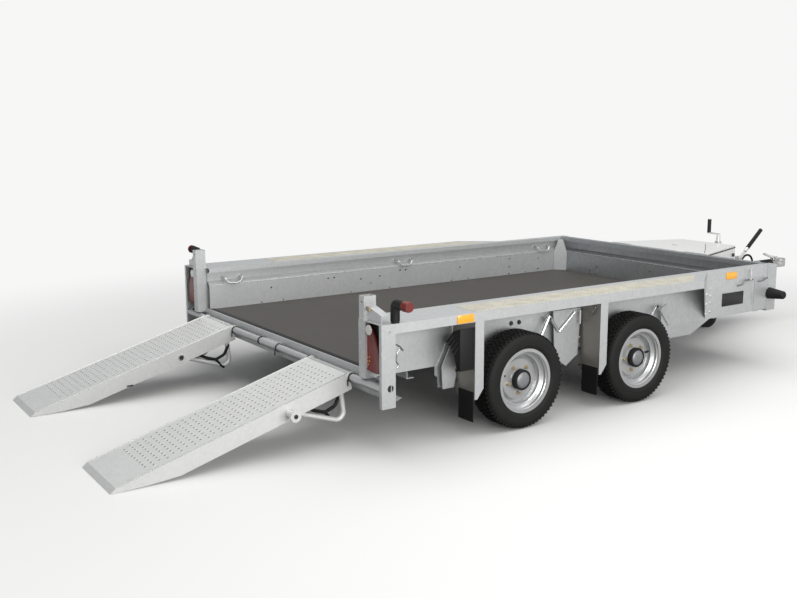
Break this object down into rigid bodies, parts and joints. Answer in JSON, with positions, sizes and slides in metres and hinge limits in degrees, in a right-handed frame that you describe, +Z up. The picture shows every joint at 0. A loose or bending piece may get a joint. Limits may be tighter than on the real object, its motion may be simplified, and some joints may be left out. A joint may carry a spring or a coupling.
{
  "type": "twin-axle plant trailer",
  "caption": "Low twin-axle goods trailer with a flat board deck, low walls, running boards over the wheels, hinged loading ramps, a nose toolbox and a ball coupling.",
  "frame": {"origin": "on the ground, at the middle of the length and of the width with the ramps lowered", "axes": "+X to the trailer right side, +Y forward towards the coupling, +Z up"},
  "size_m": [2.504, 5.783, 0.8],
  "materials": {
    "galvanised_sheet": "hot-dip galvanised sheet, dull grey with a faint spangle",
    "galvanised_frame": "hot-dip galvanised steel section, matt",
    "deck_board": "resin-faced plywood, dark grey-brown",
    "tread_cream": "gritted anti-slip strip, cream",
    "black_rubber": "black rubber, matt",
    "amber_reflector": "amber prismatic reflector",
    "black_plastic": "black moulded plastic",
    "red_lens": "red clear plastic lens",
    "bright_zinc": "bright zinc plate",
    "dark_steel": "dark grey painted steel",
    "cast_head": "zinc plated casting",
    "tyre_rubber": "black tyre rubber",
    "silver_rim": "silver painted steel wheel"
  },
  "bodies": {
    "trailer": {"floor_board": "deck_board", "chassis_rails": "galvanised_frame", "crossmembers": "galvanised_frame", "side_walls": "galvanised_sheet", "front_wall": "galvanised_sheet", "front_corner_posts": "galvanised_frame", "running_boards": "galvanised_sheet", "tread_strips": "tread_cream", "mudguard_plates": "galvanised_sheet", "mudflaps": "black_rubber", "side_reflectors": "amber_reflector", "wheel_chock": "black_plastic", "outer_rear_posts": "galvanised_frame", "inner_rear_posts": "galvanised_frame", "rear_crossmember": "galvanised_frame", "ramp_bar": "galvanised_frame", "tail_lamp_housings": "black_plastic", "tail_lamp_lenses": "red_lens", "marker_arms": "black_rubber", "marker_lenses": "red_lens", "lashing_rings": "bright_zinc", "rope_hooks": "bright_zinc", "spring_hangers": "galvanised_frame", "leaf_springs": "dark_steel", "axles": "dark_steel", "drawbar_frame": "galvanised_frame", "toolbox": "galvanised_sheet", "overrun_housing": "cast_head", "coupling_gaiter": "black_rubber", "coupling_head": "cast_head", "supply_lead": "black_rubber", "jockey_tube": "galvanised_frame"},
    "rear_right_wheel": {"rear_right_tyre": "tyre_rubber", "rear_right_rim": "silver_rim"},
    "rear_left_wheel": {"rear_left_tyre": "tyre_rubber", "rear_left_rim": "silver_rim"},
    "front_right_wheel": {"front_right_tyre": "tyre_rubber", "front_right_rim": "silver_rim"},
    "front_left_wheel": {"front_left_tyre": "tyre_rubber", "front_left_rim": "silver_rim"},
    "right_ramp_slider": {"right_ramp_sleeve": "bright_zinc"},
    "right_ramp_flap": {"right_ramp": "galvanised_sheet"},
    "left_ramp_slider": {"left_ramp_sleeve": "bright_zinc"},
    "left_ramp_flap": {"left_ramp": "galvanised_sheet"},
    "lid": {"toolbox_lid": "galvanised_sheet"},
    "coupling_lever": {"coupling_handle": "bright_zinc"},
    "handbrake": {"handbrake_lever": "bright_zinc"},
    "jockey_slider": {"jockey_leg": "galvanised_frame"},
    "jockey_caster": {"jockey_fork": "bright_zinc"},
    "jockey_roller": {"jockey_wheel": "black_rubber"},
    "jockey_winder": {"jockey_crank": "bright_zinc"}
  },
  "joints": [
    {"name": "rear_right_wheel_spin", "type": "hinge", "parent": "trailer", "child": "rear_right_wheel", "pos_m": [1.1, -0.8725, 0.248], "axis": [1, 0, 0], "continuous": true},
    {"name": "rear_left_wheel_spin", "type": "hinge", "parent": "trailer", "child": "rear_left_wheel", "pos_m": [-1.1, -0.8725, 0.248], "axis": [1, 0, 0], "continuous": true},
    {"name": "front_right_wheel_spin", "type": "hinge", "parent": "trailer", "child": "front_right_wheel", "pos_m": [1.1, -0.0425, 0.248], "axis": [1, 0, 0], "continuous": true},
    {"name": "front_left_wheel_spin", "type": "hinge", "parent": "trailer", "child": "front_left_wheel", "pos_m": [-1.1, -0.0425, 0.248], "axis": [1, 0, 0], "continuous": true},
    {"name": "right_ramp_slide", "type": "slide", "parent": "trailer", "child": "right_ramp_slider", "axis": [1, 0, 0], "range_m": [-0.3, 0.025]},
    {"name": "right_ramp_lift", "type": "hinge", "parent": "right_ramp_slider", "child": "right_ramp_flap", "pos_m": [0.659, -1.7105, 0.329], "axis": [-1, 0, 0], "range_deg": [0, 106]},
    {"name": "left_ramp_slide", "type": "slide", "parent": "trailer", "child": "left_ramp_slider", "axis": [-1, 0, 0], "range_m": [-0.3, 0.025]},
    {"name": "left_ramp_lift", "type": "hinge", "parent": "left_ramp_slider", "child": "left_ramp_flap", "pos_m": [-0.659, -1.7105, 0.329], "axis": [-1, 0, 0], "range_deg": [0, 106]},
    {"name": "lid_lift", "type": "hinge", "parent": "trailer", "child": "lid", "pos_m": [0, 1.3825, 0.629], "axis": [1, 0, 0], "range_deg": [0, 85]},
    {"name": "coupling_lift", "type": "hinge", "parent": "trailer", "child": "coupling_lever", "pos_m": [0, 2.7725, 0.452], "axis": [-1, 0, 0], "range_deg": [0, 50], "stiffness_Nm_per_rad": 3, "springref_deg": -11.46},
    {"name": "handbrake_pull", "type": "hinge", "parent": "trailer", "child": "handbrake", "pos_m": [0.078, 2.2365, 0.5], "axis": [1, 0, 0], "range_deg": [-35, 50]},
    {"name": "jockey_extend", "type": "slide", "parent": "trailer", "child": "jockey_slider", "axis": [0, 0, 1], "range_m": [-0.06, 0.085]},
    {"name": "jockey_turn", "type": "hinge", "parent": "jockey_slider", "child": "jockey_caster", "pos_m": [0.05, 2.0015, 0.2], "axis": [0, 0, 1], "continuous": true},
    {"name": "jockey_roll", "type": "hinge", "parent": "jockey_caster", "child": "jockey_roller", "pos_m": [0.05, 1.9055, 0.1], "axis": [1, 0, 0], "continuous": true},
    {"name": "jockey_wind", "type": "hinge", "parent": "trailer", "child": "jockey_winder", "pos_m": [0.05, 2.0015, 0.69], "axis": [0, 0, 1], "continuous": true}
  ]
}
